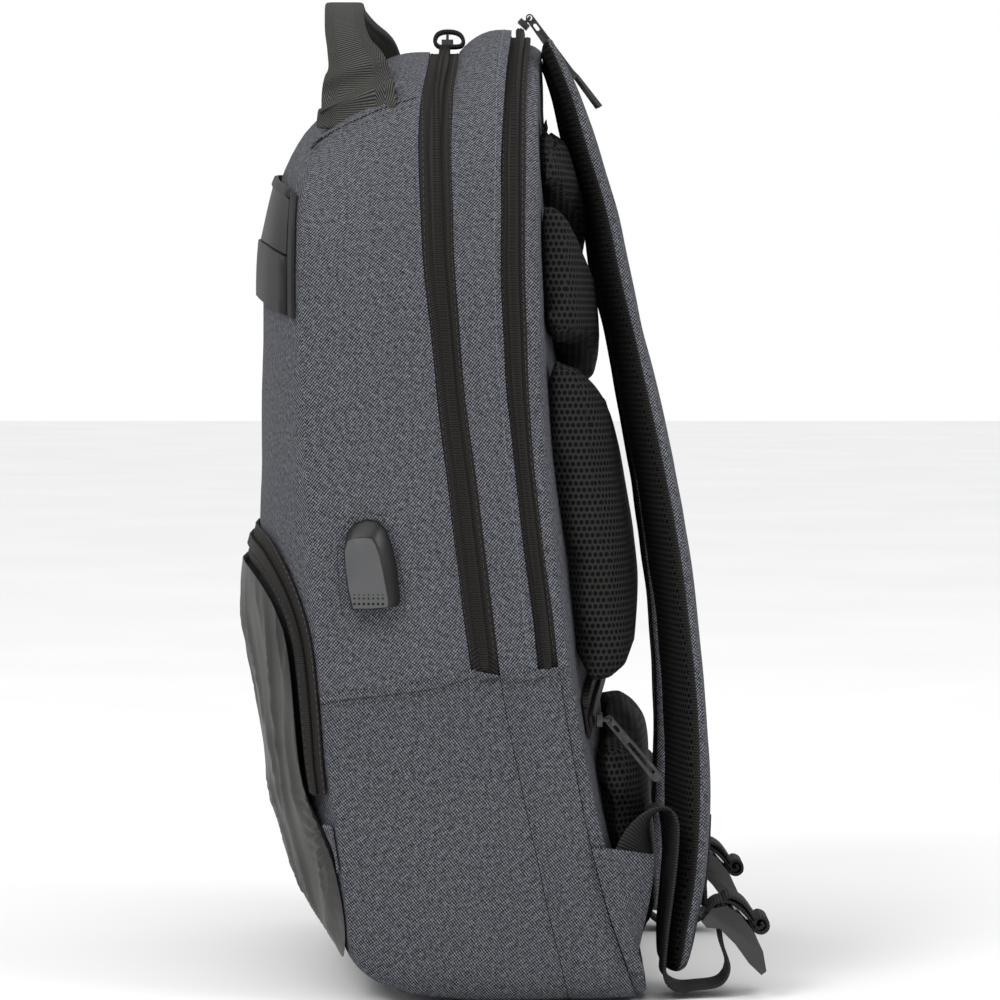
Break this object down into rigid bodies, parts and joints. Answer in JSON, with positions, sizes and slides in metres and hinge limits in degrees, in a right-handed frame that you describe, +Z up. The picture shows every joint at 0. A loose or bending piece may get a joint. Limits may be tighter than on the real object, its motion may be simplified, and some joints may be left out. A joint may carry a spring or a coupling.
{
  "type": "laptop backpack",
  "caption": "Tall laptop backpack of blue-grey twill with curved zip openings, a coated front pocket, a padded mesh back, shoulder straps, a top handle and a side charging port.",
  "frame": {"origin": "middle of the bounding box, on the surface that the bag stands on", "axes": "+X towards the bag's side with the charging port, +Y towards the wearer's back, +Z up"},
  "size_m": [0.2992, 0.2534, 0.4731],
  "materials": {
    "twill": "blue-grey melange woven twill, matte",
    "coated_fabric": "smooth coated fabric, satin, dark olive grey",
    "zip_tape": "ribbed black zip tape",
    "zip_coil": "black nylon coil",
    "back_mesh": "black spacer mesh with round holes over foam",
    "binding": "smooth black woven binding",
    "gloss_band": "glossy black coated band",
    "port_plastic": "fine-grained moulded plastic, semi-gloss",
    "webbing": "black ribbed webbing",
    "buckle_plastic": "glossy moulded plastic",
    "gunmetal": "dark gunmetal plate, satin"
  },
  "bodies": {
    "bag": {"front_shell": "twill", "gusset_ring": "twill", "back_shell": "twill", "main_zip_tape": "zip_tape", "main_zip_coil": "zip_coil", "laptop_zip_tape": "zip_tape", "laptop_zip_coil": "zip_coil", "pocket_panel": "coated_fabric", "pocket_zip_tape": "zip_tape", "pocket_zip_coil": "zip_coil", "pocket_patch_right": "twill", "pocket_patch_left": "twill", "band_upper_panel": "gloss_band", "band_lower_strip": "gloss_band", "band_top_rim": "gloss_band", "band_rim_right": "gloss_band", "band_rim_left": "gloss_band", "port_housing": "port_plastic", "handle": "webbing", "upper_pad_right": "back_mesh", "upper_pad_left": "back_mesh", "middle_pad_right": "back_mesh", "middle_pad_left": "back_mesh", "lower_pad_right": "back_mesh", "lower_pad_left": "back_mesh", "lumbar_pad": "back_mesh", "back_zip_tape": "zip_tape", "back_zip_coil": "zip_coil", "back_pocket_flap": "binding", "shoulder_strap_right": "twill", "shoulder_strap_left": "twill", "corner_wing_right": "twill", "corner_wing_left": "twill", "strap_webbing_right": "webbing", "strap_webbing_left": "webbing", "ladder_lock_right": "buckle_plastic", "ladder_lock_left": "buckle_plastic", "buckle_strip_right": "webbing", "buckle_strip_left": "webbing", "laptop_slider": "gunmetal", "back_slider": "gunmetal", "main_slider": "gunmetal", "main_pull_loop": "webbing", "top_tab": "webbing", "pocket_slider": "gunmetal"},
    "laptop_pull": {"laptop_pull": "gunmetal"},
    "back_pull": {"back_pull": "gunmetal"}
  },
  "joints": [
    {"name": "laptop_pull_swing", "type": "hinge", "parent": "bag", "child": "laptop_pull", "pos_m": [0.00506, 0.01449, 0.46543], "axis": [1, 0, 0], "range_deg": [0, 100]},
    {"name": "back_pull_swing", "type": "hinge", "parent": "bag", "child": "back_pull", "pos_m": [0.11906, 0.05057, 0.13147], "axis": [1, 0, 0], "range_deg": [0, 80]}
  ]
}
